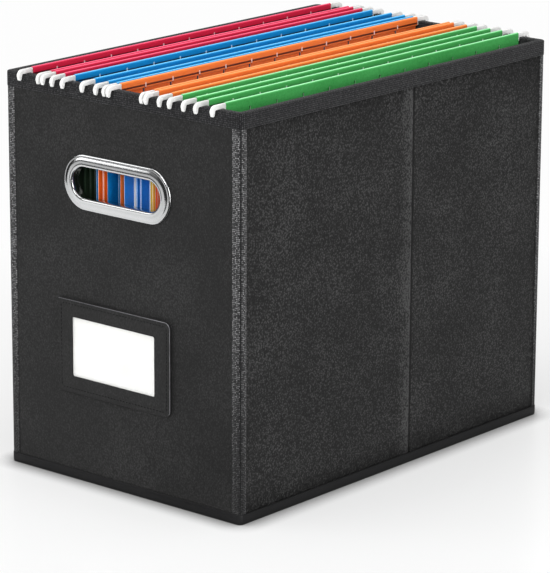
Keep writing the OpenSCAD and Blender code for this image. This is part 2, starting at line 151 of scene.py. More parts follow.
board_white, board_half = (0.92, 0.92, 0.92), 9.0
fade_from, fade_to = 0.15, 0.55
floor_board = new_finish("floor_board", board_white, 0.24)
paints = floor_board.node_tree
board_shader = paints.nodes["Principled BSDF"]
# An occlusion mask darkens the board's colour near the box: a painted contact shadow, which the glow
# carries too.
near_box = wire(paints, "AmbientOcclusion", {"Distance": 0.016}, samples=12)
painted_contact_shadow = wire(paints, "Gamma", {"Color": near_box.outputs["Color"], "Gamma": 1.7}).outputs["Color"]
white_with_painted_shadow = wire(paints, "Mix", {"Factor": 1.0, "A": (*board_white, 1.0), "B": painted_contact_shadow},
                data_type="RGBA", blend_type="MULTIPLY")
paints.links.new(white_with_painted_shadow.outputs["Result"], board_shader.inputs["Base Color"])
reach = wire(paints, "VectorMath", {0: wire(paints, "TexCoord").outputs["Object"]}, operation="LENGTH")
plain_share = sums("MULTIPLY", span(reach.outputs["Value"], fade_from, fade_to, 0.45),
                   wire(paints, "LightPath").outputs["Is Camera Ray"])
glow = wire(paints, "Emission", {"Color": painted_contact_shadow, "Strength": 0.985})
lit = wire(paints, "MixShader", {"Fac": plain_share, 1: board_shader.outputs[0], 2: glow.outputs[0]})
paints.links.new(lit.outputs[0], paints.nodes["Material Output"].inputs["Surface"])
bm = bmesh.new()
bmesh.ops.create_grid(bm, x_segments=4, y_segments=4, size=board_half)
floor = new_piece("floor", bm, floor_board)
floor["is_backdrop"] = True

matt_black = (0.01, 0.01, 0.01)
one_sided = new_finish("black_card_lying", matt_black, 0.9)
sides = one_sided.node_tree
either = wire(sides, "MixShader", {"Fac": wire(sides, "NewGeometry").outputs["Backfacing"],
                                   1: sides.nodes["Principled BSDF"].outputs[0],
                                   2: wire(sides, "BsdfTransparent").outputs[0]})
sides.links.new(either.outputs[0], sides.nodes["Material Output"].inputs["Surface"])
for card_name, place, tilted, turned, wide, tall, card_finish in (
        ("black_card_front", (0.16, -0.82, 0.275), 90.0, 6.0, 0.8, 0.55,
         new_finish("black_card_front", matt_black, 0.9)),
        ("black_card_left", (-0.74, -0.3, 0.25), 90.0, 100.0, 0.46, 0.5,
         new_finish("black_card_left", matt_black, 0.9)),
        ("black_card_lying", (0.29, -0.535, 0.002), 0.0, 0.0, 0.62, 0.73, one_sided)):
    bm = bmesh.new()
    corners = bmesh.ops.create_grid(bm, x_segments=1, y_segments=1, size=0.5)["verts"]
    bmesh.ops.scale(bm, vec=(wide, tall, 1.0), verts=corners)
    for angle, axis in ((tilted, "X"), (turned, "Z")):
        bmesh.ops.rotate(bm, cent=(0, 0, 0), matrix=Matrix.Rotation(math.radians(angle), 3, axis),
                         verts=corners)
    bmesh.ops.translate(bm, vec=place, verts=corners)
    black_card = new_piece(card_name, bm, card_finish)
    black_card.visible_camera = False
    black_card.visible_diffuse = False
    black_card.visible_shadow = False
    black_card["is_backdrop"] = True

box_middle = Vector((0.0, 0.0, 0.13))
for lamp_name, place, width, height, power in (
        ("soft_box_over", (0.1, -0.2, 2.3), 2.2, 1.6, 23.0),
        ("soft_box_front", (0.7, -2.6, 1.5), 1.6, 1.4, 44.0),
        ("soft_box_right", (2.4, -0.6, 0.85), 1.2, 1.4, 28.0),
        ("soft_box_left", (-1.9, -1.5, 1.2), 1.0, 1.4, 11.0),
        ("soft_box_rear", (-1.2, 2.2, 1.6), 1.6, 1.2, 8.0)):
    lamp = bpy.data.objects.new(lamp_name, bpy.data.lights.new(lamp_name, "AREA"))
    lamp.data.shape = "RECTANGLE"
    lamp.data.size = width
    lamp.data.size_y = height
    lamp.data.energy = power
    lamp.location = place
    lamp.rotation_euler = (box_middle - Vector(place)).to_track_quat("-Z", "Y").to_euler()
    bpy.context.scene.collection.objects.link(lamp)


# The walls: grey chipboard, about 2 mm thick, cut with square edges, with a hand hole in each end.
# The boards lie between the covers and the lining, and each side has two, with a gap at the crease.
def paint(red, green, blue):
    """A colour from a paint card, as the light it reflects."""
    return tuple((c / 255 / 12.92) if c <= 10 else ((c / 255 + 0.055) / 1.055) ** 2.4
                 for c in (red, green, blue))


def new_effect(name, **numbers):
    """A shader node group on a surface's coordinates, with numbers that each have a usual value."""
    effect = bpy.data.node_groups.new(name, "ShaderNodeTree")
    effect.interface.new_socket("Vector", in_out="INPUT", socket_type="NodeSocketVector")
    for label, usual in numbers.items():
        socket = effect.interface.new_socket(label.replace("_", " "), in_out="INPUT",
                                             socket_type="NodeSocketFloat")
        socket.default_value = usual
    for label in ("Shade", "Height"):
        effect.interface.new_socket(label, in_out="OUTPUT", socket_type="NodeSocketFloat")
    return effect, effect.nodes.new("NodeGroupInput").outputs


def give(effect, shade, height):
    """Wires up what a shader node group gives: a shade for the colour, and a height."""
    ends = effect.nodes.new("NodeGroupOutput")
    effect.links.new(shade, ends.inputs["Shade"])
    effect.links.new(height, ends.inputs["Height"])


def with_effect(finish, effect, along="Object", **numbers):
    """Places an effect in a material, on the piece's own coordinates or on its UV map."""
    tree = finish.node_tree
    made = tree.nodes.new("ShaderNodeGroup")
    made.node_tree = effect
    tree.links.new(wire(tree, "TexCoord").outputs[along], made.inputs["Vector"])
    for key, value in numbers.items():
        made.inputs[key.replace("_", " ")].default_value = value
    return made


def tint(finish, shade, *stops):
    """Colours the material by a shade from 0 to 1, with each stop a place and a colour."""
    ramp = wire(finish.node_tree, "ValToRGB", {"Fac": shade})
    steps = ramp.color_ramp.elements
    while len(steps) < len(stops):
        steps.new(0.5)
    for step, (place, colour) in zip(steps, stops):
        step.position = place
        step.color = (*colour, 1.0)
    shader = finish.node_tree.nodes["Principled BSDF"]
    finish.node_tree.links.new(ramp.outputs["Color"], shader.inputs["Base Color"])


def polish(finish, shade, low, high):
    """Lets the roughness follow a shade."""
    shader = finish.node_tree.nodes["Principled BSDF"]
    finish.node_tree.links.new(span(shade, 0.0, 1.0, low, high), shader.inputs["Roughness"])


def emboss(finish, height, depth):
    """Raises the surface by a height from 0 to 1, times a depth in metres."""
    bump = wire(finish.node_tree, "Bump", {"Height": height, "Distance": depth, "Strength": 1.0})
    shader = finish.node_tree.nodes["Principled BSDF"]
    finish.node_tree.links.new(bump.outputs["Normal"], shader.inputs["Normal"])


def blend(first, first_share, second, second_share):
    """Adds two values, each times its share."""
    return sums("ADD", sums("MULTIPLY", first, first_share), sums("MULTIPLY", second, second_share))


def dress(finish, *node_names):
    """Gives CAD parts whose shape is right a material."""
    for node_name in node_names:
        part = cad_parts[node_name]
        if not part.material_slots:
            part.data.materials.append(finish)
        for holder in part.material_slots:
            holder.link = "OBJECT"
            holder.material = finish


fibre_effect, given = new_effect("pressed_fibre", Grain=900.0, Cloud=30.0)
fine = wire(fibre_effect, "TexNoise", {"Vector": given["Vector"], "Scale": given["Grain"], "Detail": 4.0,
                                       "Roughness": 0.65, "Distortion": 0.6}).outputs["Fac"]
cloud = wire(fibre_effect, "TexNoise", {"Vector": given["Vector"], "Scale": given["Cloud"],
                                        "Detail": 3.0}).outputs["Fac"]
give(fibre_effect, blend(fine, 0.55, cloud, 0.45), fine)


def fibrous(name, roughness, grain, stops, cloud=30.0, depth=None, rougher=None, **sockets):
    """A material of fine fibres: its colours, its grain and the depth of its relief in metres."""
    finish = new_finish(name, stops[-1][1], roughness, **sockets)
    fibres = with_effect(finish, fibre_effect, Grain=grain, Cloud=cloud)
    tint(finish, fibres.outputs["Shade"], *stops)
    if rougher is not None:
        polish(finish, fibres.outputs["Shade"], roughness, rougher)
    if depth is not None:
        emboss(finish, fibres.outputs["Height"], depth)
    return finish


chipboard = fibrous("chipboard", 0.9, 700.0, ((0.3, paint(92, 88, 82)), (0.7, paint(140, 136, 126))),
                    depth=0.1 * mm)
dress(chipboard, "front_board", "rear_board", "left_front_board", "left_rear_board",
      "right_front_board", "right_rear_board")

# The inside: black non-woven cloth glued to the walls and over the base board, and sewn in below.
# It is a matted felt of fine fibres, with a slight sheen and paler lint here and there.
felt = fibrous("lining_cloth", 0.95, 1500.0,
               ((0.32, paint(20, 20, 22)), (0.6, paint(36, 36, 38)), (0.78, paint(62, 62, 64))),
               cloud=60.0, depth=0.25 * mm, Sheen_Weight=0.25, Sheen_Roughness=0.6)
dress(felt, "lining", "bottom_cloth", "base_board")

# The covers of the two ends: charcoal leatherette, pressed with a fine upright grain and glued flat.
# Each is cut out round the hand hole, and its edges lie under the tapes and strips.
grain_effect, given = new_effect("leather_grain", Across=950.0, Upright=720.0, Cloud=0.3, Crease_at=-1.0)
stretch = wire(grain_effect, "CombineXYZ", {"X": given["Across"], "Y": given["Across"],
                                            "Z": given["Upright"]})
drawn = wire(grain_effect, "VectorMath", {0: given["Vector"], 1: stretch.outputs[0]},
             operation="MULTIPLY").outputs[0]
folds = wire(grain_effect, "TexNoise", {"Vector": drawn, "Scale": 0.55, "Detail": 3.0, "Roughness": 0.6,
                                        "Distortion": 1.6}).outputs["Fac"]
pores = wire(grain_effect, "TexVoronoi", {"Vector": drawn, "Scale": 1.0, "Smoothness": 0.35},
             feature="SMOOTH_F1").outputs["Distance"]
patches = wire(grain_effect, "TexNoise", {"Vector": given["Vector"], "Scale": 22.0, "Detail": 3.0,
                                          "Roughness": 0.55}).outputs["Fac"]
relief = blend(sums("SUBTRACT", 1.0, pores), 0.55, folds, 0.6)
mottled = blend(relief, sums("SUBTRACT", 1.0, given["Cloud"]), patches, given["Cloud"])
sheet_at = wire(grain_effect, "SeparateXYZ", {"Vector": given["Vector"]})
# At Crease at the colour is darkened by a painted shade line, and in front of it lightened by a painted
# highlight where the wall swells out.
from_crease = sums("SUBTRACT", sheet_at.outputs["Y"], given["Crease at"])
painted_crease_shade = span(sums("ABSOLUTE", from_crease), 0.4 * mm, 1.2 * mm, 0.23, 0.0)
painted_swell_highlight = sums("MULTIPLY", span(from_crease, -14 * mm, -0.9 * mm, 0.0, 0.15),
             sums("LESS_THAN", from_crease, -0.6 * mm))
give(grain_effect, sums("ADD", sums("SUBTRACT", mottled, painted_crease_shade), painted_swell_highlight), relief)


def grained(name, dark, usual, light, depth, **grain):
    """Leatherette in three greys: its colour, sheen and pressed grain."""
    finish = new_finish(name, paint(usual, usual, usual), 0.6, Specular_IOR_Level=0.16)
    pressed = with_effect(finish, grain_effect, **grain)
    tint(finish, pressed.outputs["Shade"], *((place, paint(grey, grey, grey)) for place, grey in
                                             zip((0.46, 0.6, 0.74), (dark, usual, light))))
    polish(finish, pressed.outputs["Shade"], 0.5, 0.72)
    emboss(finish, pressed.outputs["Height"], depth)
    return finish


leatherette = grained("leatherette", 32, 41, 56, 0.2 * mm)
dress(leatherette, "front_cover", "rear_cover")

# The covers of the two sides: the same leatherette, wrapped a little way round the corners.
# Each has one upright crease pressed in behind its middle, where the wall folds when the box is empty.
crease_y, crease_depth, crease_half = 14.2 * mm, 0.7 * mm, 1.2 * mm
swell_out, swell_off, swell_width = 0.22 * mm, 4.0 * mm, 3.5 * mm
turn_r, cover_t = 2.5 * mm, 0.8 * mm
# Its crease carries a painted shade line, with a painted highlight in front of it.
pebbled = grained("leatherette_pebbled", 24, 38, 70, 0.35 * mm, Across=800.0, Upright=720.0, Cloud=0.2,
                  Crease_at=crease_y)


def verts_of(parts):
    """The vertices among the parts that a bmesh operator gives."""
    return [part for part in parts if isinstance(part, bmesh.types.BMVert)]


def edges_of(parts):
    """The edges among the parts that a bmesh operator gives."""
    return [part for part in parts if isinstance(part, bmesh.types.BMEdge)]


def draw_out(bm, edges, move):
    """Draws edges out into faces by a move, and gives the new parts."""
    out = bmesh.ops.extrude_edge_only(bm, edges=edges)["geom"]
    bmesh.ops.translate(bm, vec=move, verts=verts_of(out))
    return out


def thicken(bm, faces, move):
    """Gives a flat sheet a thickness, by a move of its far side."""
    out = bmesh.ops.extrude_face_region(bm, geom=faces)["geom"]
    bmesh.ops.translate(bm, vec=move, verts=verts_of(out))


def cut_across(bm, place, normal):
    """Cuts all faces along a plane, and keeps both sides."""
    bmesh.ops.bisect_plane(bm, geom=list(bm.verts) + list(bm.edges) + list(bm.faces),
                           plane_co=place, plane_no=normal)


def put_in_place(name, bm, finish, body, slot_name, *stands_for, smooth=True):
    """Makes the finished piece of a bmesh, and fixes it to its CAD body."""
    for face in bm.faces:
        face.smooth = smooth
    piece = new_piece(name, bm, finish)
    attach(piece, body)
    if stands_for:
        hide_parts(*stands_for)
    return piece


def turned_to(bm, side):
    """Mirrors a right-hand shape to the left where side is -1, with its faces outwards again."""
    if side < 0:
        bmesh.ops.scale(bm, vec=(-1, 1, 1), verts=bm.verts)
    bmesh.ops.recalc_face_normals(bm, faces=bm.faces)


for cover_name, side in (("right_cover", 1), ("left_cover", -1)):
    low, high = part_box(cover_name)
    face_x = max(high.x, -low.x)
    bm = bmesh.new()
    start = [bm.verts.new((face_x - cover_t, low.y + turn_r, low.z)),
             bm.verts.new((face_x, low.y + turn_r, low.z))]
    edge = [bm.edges.new(start)]
    rows = [-60.0, -25.0, -9.0, -4.0, -2.2, -1.2, 0.0, 1.2, 2.2, 4.0, 9.0, 25.0, 60.0, 100.0]
    stops = [low.y + turn_r] + [crease_y + row * mm for row in rows] + [high.y - turn_r]
    for last, stop in zip(stops, stops[1:]):
        edge = edges_of(draw_out(bm, edge, (0, stop - last, 0)))
    first_edge = [e for e in bm.edges if all(v in start for v in e.verts)]
    for end_y, sign, ends in ((high.y - turn_r, 1, edge), (low.y + turn_r, -1, first_edge)):
        bmesh.ops.spin(bm, geom=ends + list({v for e in ends for v in e.verts}),
                       cent=(face_x - turn_r, end_y, 0), axis=(0, 0, sign),
                       angle=math.radians(90), steps=4)
    thicken(bm, list(bm.faces), (0, 0, high.z - low.z))
    for height_z in range(30, 231, 40):
        cut_across(bm, (0, 0, height_z * mm), (0, 0, 1))
    for vert in bm.verts:
        if vert.co.x > face_x - 0.1 * mm:
            off = abs(vert.co.y - crease_y)
            bulge = swell_out * math.exp(-((off - swell_off) / swell_width) ** 2)
            groove = crease_depth * max(0.0, 1.0 - off / crease_half)
            middle = math.sin(math.pi * min(max(vert.co.z / high.z, 0.0), 1.0))
            vert.co.x += bulge * middle - groove
    turned_to(bm, side)
    put_in_place(cover_name + "_sheet", bm, pebbled, "box", "leatherette", cover_name)


# The tape over the rim: black woven cotton webbing, folded over the top of the walls.
# It is glued outside and inside, with its corners mitred inside and rounded outside.
def round_corners(bm, corners, radius, segments):
    """Rounds the corners of a flat sheet."""
    bmesh.ops.bevel(bm, geom=corners, offset=radius, offset_type="OFFSET", segments=segments,
                    profile=0.5, affect="VERTICES", material=-1)


def edge_of_sheet(bm):
    """Takes away the only face of a bmesh, and gives the edges round it."""
    face = bm.faces[:][0]
    loop = list(face.edges)
    bmesh.ops.delete(bm, geom=[face], context="FACES_ONLY")
    return loop


def band_round_the_box(section):
    """A band whose section, of (how far out, height) in mm, goes all round the walls."""
    bm = bmesh.new()
    rounds = [max(corner_r + out * mm, 0.35 * mm) for out, _ in section]
    reach = [out * mm for out, _ in section]
    sheet = bmesh.ops.create_grid(bm, x_segments=1, y_segments=1, size=1.0)["verts"]
    bmesh.ops.scale(bm, vec=(wall_x + reach[0], wall_y + reach[0], 1.0), verts=sheet)
    bmesh.ops.translate(bm, vec=(0, 0, section[0][1] * mm), verts=sheet)
    round_corners(bm, sheet, rounds[0], 6)
    loop = edge_of_sheet(bm)
    for last in range(len(section)):
        following = (last + 1) % len(section)
        new_part = bmesh.ops.extrude_edge_only(bm, edges=loop)["geom"]
        loop = edges_of(new_part)
        for vert in verts_of(new_part):
            for axis, wall in ((0, wall_x), (1, wall_y)):
                beyond = abs(vert.co[axis]) - (wall + reach[last] - rounds[last])
                turned = beyond / rounds[last] * rounds[following]
                vert.co[axis] = math.copysign(wall + reach[following] - rounds[following] + turned,
                                              vert.co[axis])
            vert.co.z = section[following][1] * mm
    bmesh.ops.remove_doubles(bm, verts=bm.verts, dist=0.01 * mm)
    bmesh.ops.recalc_face_normals(bm, faces=bm.faces)
    return bm


def tape_uv(bm, top_z):
    """Lays a UV map along the tape in metres: u along the walls, v across the tape."""
    layer = bm.loops.layers.uv.new("along_tape")
    core_x, core_y = wall_x - corner_r, wall_y - corner_r
    arc_l = corner_r * math.pi / 2
    half_wall = 2.2 * mm
    for face in bm.faces:
        centre = face.calc_center_median()
        for loop in face.loops:
            x, y, z = loop.vert.co
            if abs(centre.x) - core_x > abs(centre.y) - core_y:
                u = y * (1 if centre.x > 0 else -1)
                inward = wall_x - abs(x)
            else:
                u = -x * (1 if centre.y > 0 else -1) + core_x + core_y + arc_l
                inward = wall_y - abs(y)
            v = z + inward if inward < half_wall else 2 * top_z - z + inward
            loop[layer].uv = (u, v)


weave_effect, given = new_effect("plain_weave", Pitch=1.0, Fold_at=-1.0, Marl=0.3)
flat = wire(weave_effect, "SeparateXYZ", {"Vector": given["Vector"]}).outputs
warp_at, weft_at = (sums("DIVIDE", flat[axis], given["Pitch"]) for axis in ("X", "Y"))
warp, weft = (sums("ABSOLUTE", sums("SINE", sums("MULTIPLY", at, math.pi))) for at in (warp_at, weft_at))
warp_row, weft_row = (sums("FLOOR", at) for at in (warp_at, weft_at))
turn = sums("FLOORED_MODULO", sums("ADD", warp_row, weft_row), 2.0)
over = blend(turn, warp, sums("SUBTRACT", 1.0, turn), weft)
crossed = sums("MULTIPLY", over, sums("ADD", 0.45, sums("MULTIPLY", sums("MULTIPLY", warp, weft), 0.55)))
fuzz = wire(weave_effect, "TexNoise", {"Vector": given["Vector"], "Scale": 900.0,
                                       "Detail": 2.0}).outputs["Fac"]
crossing = wire(weave_effect, "CombineXYZ", {"X": warp_row, "Y": weft_row})
yarn = wire(weave_effect, "TexWhiteNoise", {"Vector": crossing.outputs[0]}).outputs["Value"]
marled = sums("ADD", sums("SUBTRACT", 1.0, given["Marl"]), sums("MULTIPLY", yarn, given["Marl"]))
woven = blend(sums("MULTIPLY", crossed, marled), 0.8, fuzz, 0.35)
# Along Fold at the shade is darkened: a painted shade line where the strip turns the corner.
fold_off = sums("ABSOLUTE", sums("SUBTRACT", flat["X"], given["Fold at"]))
give(weave_effect, sums("MULTIPLY", woven, span(fold_off, 0.0, 0.9 * mm, 0.3)), crossed)

wall_x, wall_y = 99.0 * mm, 155.0 * mm
corner_r = 2.5 * mm
webbing = new_finish("rim_tape", paint(30, 30, 32), 0.85, Sheen_Weight=0.08, Sheen_Roughness=0.5,
                     Specular_IOR_Level=0.2)
threads = with_effect(webbing, weave_effect, along="UV", Pitch=1.3 * mm, Marl=0.5)
tint(webbing, threads.outputs["Shade"], (0.15, paint(12, 12, 13)), (0.5, paint(26, 26, 28)),
     (0.9, paint(74, 74, 76)))
emboss(webbing, threads.outputs["Height"], 0.3 * mm)
rim_section = [(0.0, 252.0), (0.65, 252.0), (0.8, 252.3), (0.8, 261.0), (0.62, 261.55),
               (0.1, 261.95), (-0.5, 262.0), (-3.1, 262.0), (-3.7, 261.95), (-4.22, 261.55),
               (-4.4, 261.0), (-4.4, 252.3), (-4.25, 252.0), (-3.6, 252.0), (-3.6, 260.8),
               (0.0, 260.8)]
bm = band_round_the_box(rim_section)
tape_uv(bm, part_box("rim_tape")[1].z)
put_in_place("rim_webbing", bm, webbing, "box", "rim_tape", "rim_tape")

# The tape round the bottom edge: smooth black binding, turned under the box and glued.
# It is a little shiny, and scuffed here and there.
binding = fibrous("bottom_tape", 0.35, 420.0,
                  ((0.3, paint(13, 13, 14)), (0.62, paint(22, 22, 23)), (0.8, paint(38, 38, 40))),
                  cloud=25.0, depth=0.08 * mm, rougher=0.6, Specular_IOR_Level=0.25)
foot_section = [(0.0, 6.5), (0.0, 0.8), (-9.0, 0.8), (-9.0, 0.0), (-0.6, 0.0), (0.1, 0.12),
                (0.55, 0.5), (0.78, 1.1), (0.82, 3.2), (0.78, 6.2), (0.6, 6.5)]
bm = band_round_the_box(foot_section)
put_in_place("foot_binding", bm, binding, "box", "bottom_tape", "bottom_tape")

# The strips over the four upright corners: the same black webbing, folded round the corner.
# Each is sewn down along both edges, with the thread pulled in, so the label's card slides clear past it.
strip_low, strip_high, strip_t = 6.5 * mm, 252.0 * mm, 0.5 * mm
strip_on_end, strip_on_side = 6.5 * mm, 5.0 * mm
seam_in, sunk, stitch_low, stitch_pitch, stitches = 0.9 * mm, 0.12 * mm, 8.5 * mm, 2.5 * mm, 97
stitch_l, stitch_w, stitch_out = 1.8 * mm, 0.5 * mm, 0.4 * mm
fold_line = wall_y - wall_x
strip_webbing = new_finish("corner_strip", paint(46, 46, 47), 0.7, Sheen_Weight=0.1,
                           Sheen_Roughness=0.4, Specular_IOR_Level=0.25)
strip_threads = with_effect(strip_webbing, weave_effect, along="UV", Pitch=1.15 * mm, Fold_at=fold_line,
                            Marl=0.7)
# The strips' colour is darker towards the bottom, up to 14 cm.
strip_rise = wire(strip_webbing.node_tree, "SeparateXYZ",
               {"Vector": strip_threads.inputs["Vector"].links[0].from_socket})
tint(strip_webbing, sums("MULTIPLY", strip_threads.outputs["Shade"],
                         span(strip_rise.outputs["Y"], 0.01, 0.14, 0.55)),
     (0.1, paint(8, 8, 9)), (0.4, paint(44, 44, 45)), (0.85, paint(156, 156, 157)))
emboss(strip_webbing, strip_threads.outputs["Height"], 0.45 * mm)
thread = fibrous("sewing_thread", 0.6, 2600.0, ((0.3, paint(36, 36, 37)), (0.7, paint(96, 96, 97))),
                 depth=0.1 * mm, Sheen_Weight=0.3)


def sew(bm, start, step, count, size):
    """A row of stitches: small plump lozenges, each as wide, long and high as size says."""
    for number in range(count):
        stitch = bmesh.ops.create_uvsphere(bm, u_segments=6, v_segments=4, radius=0.5)["verts"]
        bmesh.ops.scale(bm, vec=size, verts=stitch)
        bmesh.ops.translate(bm, vec=Vector(start) + Vector(step) * number, verts=stitch)


def round_edges(piece, width, segments=2, angle=40.0):
    """A small round on every sharp edge, which catches the light."""
    bevel = piece.modifiers.new("rounded_edges", "BEVEL")
    bevel.width = width
    bevel.segments = segments
    bevel.limit_method = "ANGLE"
    bevel.angle_limit = math.radians(angle)


for side in (1, -1):
    for end in (-1, 1):
        strip_name = ("front" if end < 0 else "rear") + ("_right" if side > 0 else "_left")
        bm = bmesh.new()
        edge = [bm.edges.new([bm.verts.new((wall_x - strip_on_end, y, strip_low))
                              for y in (-wall_y, -wall_y - strip_t)])]
        out = draw_out(bm, edge, (strip_on_end - corner_r, 0, 0))
        out = bmesh.ops.spin(bm, geom=verts_of(out) + edges_of(out),
                             cent=(wall_x - corner_r, -wall_y + corner_r, 0), axis=(0, 0, 1),
                             angle=math.radians(90), steps=6)["geom_last"]
        draw_out(bm, edges_of(out), (0, strip_on_side - corner_r, 0))
        thicken(bm, list(bm.faces), (0, 0, strip_high - strip_low))
        if end > 0:
            bmesh.ops.scale(bm, vec=(1, -1, 1), verts=bm.verts)
        turned_to(bm, side)
        layer = bm.loops.layers.uv.new("round_the_corner")
        for face in bm.faces:
            for loop in face.loops:
                x, y, z = loop.vert.co
                loop[layer].uv = (abs(y) - abs(x), z)
        round_edges(put_in_place(strip_name + "_strip", bm, strip_webbing, "box", "corner_strip",
                                 strip_name + "_corner_strip"), 0.18 * mm)
        bm = bmesh.new()
        for x, y, size in (
                (wall_x - strip_on_end + seam_in, wall_y + strip_t - sunk,
                 (stitch_w, stitch_out, stitch_l)),
                (wall_x + strip_t - sunk, wall_y - strip_on_side + seam_in,
                 (stitch_out, stitch_w, stitch_l))):
            sew(bm, (x * side, y * end, stitch_low), (0, 0, stitch_pitch), stitches, size)
        put_in_place(strip_name + "_stitches", bm, thread, "box", "corner_strip")

# The grommets of the two hand holes: pressed steel, chromed, with a rolled rim and a rolled lip.
# The neck goes through the wall and is crimped over a flat chromed ring inside the box.
ring_r, ring_half, ring_z, ring_off = 10.0 * mm, 27.2 * mm, 199.0 * mm, 3.0 * mm
ring_section = [(0.0, -4.8), (0.0, 0.9), (0.18, 1.7), (0.65, 2.35), (1.3, 2.65), (1.9, 2.62),
                (2.4, 2.45), (3.0, 2.42), (4.2, 2.38), (5.2, 2.12), (6.1, 1.72), (6.6, 1.6),
                (7.1, 1.62), (7.7, 1.45), (8.12, 1.0), (8.3, 0.5), (8.2, 0.1), (8.0, 0.0),
                (1.0, 0.0), (1.0, -4.8)]
brushed_effect, given = new_effect("drawn_metal", Lines=1500.0)
long_lines = wire(brushed_effect, "VectorMath", {0: given["Vector"], 1: (0.05, 1.0, 1.0)},
                  operation="MULTIPLY")
lines = wire(brushed_effect, "TexNoise", {"Vector": long_lines.outputs[0], "Scale": given["Lines"],
                                          "Detail": 2.0}).outputs["Fac"]
give(brushed_effect, lines, lines)
chrome = new_finish("chrome", (0.55, 0.556, 0.56), 0.13, Metallic=1.0)
drawn_lines = with_effect(chrome, brushed_effect)
polish(chrome, drawn_lines.outputs["Shade"], 0.08, 0.24)
emboss(chrome, drawn_lines.outputs["Height"], 0.012 * mm)
for end, ring_name in ((-1, "front_handle_ring"), (1, "rear_handle_ring")):
    bm = bmesh.new()
    loop = [bm.verts.new((ring_half, -wall_y - out * mm, -ring_r - wide * mm))
            for wide, out in ring_section]
    last = [bm.edges.new((a, b)) for a, b in zip(loop, loop[1:] + loop[:1])] + loop
    for cent_x in (ring_half, -ring_half):
        out = bmesh.ops.spin(bm, geom=last, cent=(cent_x, 0, 0), axis=(0, -1, 0),
                             angle=math.pi, steps=28)["geom_last"]
        out = draw_out(bm, edges_of(out), (-2 * cent_x, 0, 0))
        last = verts_of(out) + edges_of(out)
    bmesh.ops.remove_doubles(bm, verts=bm.verts, dist=0.001 * mm)
    if end > 0:
        bmesh.ops.rotate(bm, cent=(0, 0, 0), matrix=Matrix.Rotation(math.pi, 3, "Z"), verts=bm.verts)
    bmesh.ops.translate(bm, vec=(ring_off * end, 0, ring_z), verts=bm.verts)
    bmesh.ops.recalc_face_normals(bm, faces=bm.faces)
    ring = put_in_place(ring_name + "_chromed", bm, chrome, "box", "chrome", ring_name)
    soft = ring.modifiers.new("smooth", "SUBSURF")
    soft.levels = soft.render_levels = 1
dress(chrome, "front_handle_backing", "rear_handle_backing")

# The label holder on the front: a leatherette frame with a clear film window, on a backing leaf.
# It is sewn on three sides, with a thin piping, and the stitches at its left only hem the frame.
# The left end is open for the paper card. The piping's pale grey is a painted highlight along the top and
# right, and where it runs along the bottom it has the dark leatherette instead, with no highlight.
label_low, label_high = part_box("label_frame")
label_r, window_r, frame_t = 4.5 * mm, 1.2 * mm, 0.8 * mm
window_low = Vector((label_low.x + 11.5 * mm, 0, label_low.z + 11.25 * mm))
window_high = Vector((label_high.x - 13.5 * mm, 0, label_high.z - 11.25 * mm))
holder = grained("label_leatherette", 34, 41, 54, 0.12 * mm, Across=1200.0, Upright=600.0)
dress(holder, "label_backing")


def upright_sheet(bm, low, high, y):
    """A flat sheet standing on the front of the box, from one corner to the other."""
    corners = bmesh.ops.create_grid(bm, x_segments=1, y_segments=1, size=0.5)["verts"]
    bmesh.ops.rotate(bm, cent=(0, 0, 0), matrix=Matrix.Rotation(math.pi / 2, 3, "X"), verts=corners)
    bmesh.ops.scale(bm, vec=(high.x - low.x, 1, high.z - low.z), verts=corners)
    bmesh.ops.translate(bm, vec=((low.x + high.x) / 2, y, (low.z + high.z) / 2), verts=corners)
    return corners


bm = bmesh.new()
outer = upright_sheet(bm, label_low, label_high, label_low.y)
round_corners(bm, [v for v in outer if v.co.x > 0], label_r, 8)
outlines = edge_of_sheet(bm)
inner = upright_sheet(bm, window_low, window_high, label_low.y)
round_corners(bm, inner, window_r, 4)
outlines += edge_of_sheet(bm)
bmesh.ops.triangle_fill(bm, use_beauty=True, use_dissolve=False, edges=outlines)
thicken(bm, list(bm.faces), (0, frame_t, 0))
bmesh.ops.recalc_face_normals(bm, faces=bm.faces)
round_edges(put_in_place("label_holder", bm, holder, "box", "label_leatherette", "label_frame",
                         smooth=False), 0.25 * mm, 3)

# The piping's pale grey is a painted highlight on the frame's top and right edges.
piping_highlight = fibrous("label_piping", 0.35, 500.0, ((0.3, paint(66, 66, 69)), (0.7, paint(124, 124, 128))),
                 cloud=60.0, depth=0.06 * mm)
cord_r, cord_sunk, bottom_run_without_highlight = 0.32 * mm, 0.2 * mm, 2.0 * mm
bm = bmesh.new()
cord = bmesh.ops.create_circle(bm, segments=10, radius=cord_r)["verts"]
bmesh.ops.rotate(bm, cent=(0, 0, 0), matrix=Matrix.Rotation(math.pi / 2, 3, "Y"), verts=cord)
bmesh.ops.translate(bm, vec=(label_low.x, label_low.y + cord_sunk, label_high.z - cord_r), verts=cord)
last = list({e for v in cord for e in v.link_edges})
turn_x, turn_top, turn_low = label_high.x - label_r, label_high.z - label_r, label_low.z + label_r
for run, cent in (((turn_x - label_low.x, 0, 0), (turn_x, 0, turn_top)),
                  ((0, 0, turn_low - turn_top), (turn_x, 0, turn_low)),
                  ((label_low.x - turn_x, 0, 0), None)):
    out = draw_out(bm, last, run)
    if cent is not None:
        out = bmesh.ops.spin(bm, geom=verts_of(out) + edges_of(out), cent=cent, axis=(0, 1, 0),
                             angle=math.radians(90), steps=8)["geom_last"]
        last = edges_of(out)
bmesh.ops.holes_fill(bm, edges=[e for e in bm.edges if e.is_boundary], sides=0)
bmesh.ops.recalc_face_normals(bm, faces=bm.faces)
piped = put_in_place("label_piping", bm, piping_highlight, "box", "label_leatherette")
piped.data.materials.append(holder)
for face in piped.data.polygons:
    if face.center.z < label_low.z + bottom_run_without_highlight:
        face.material_index = 1

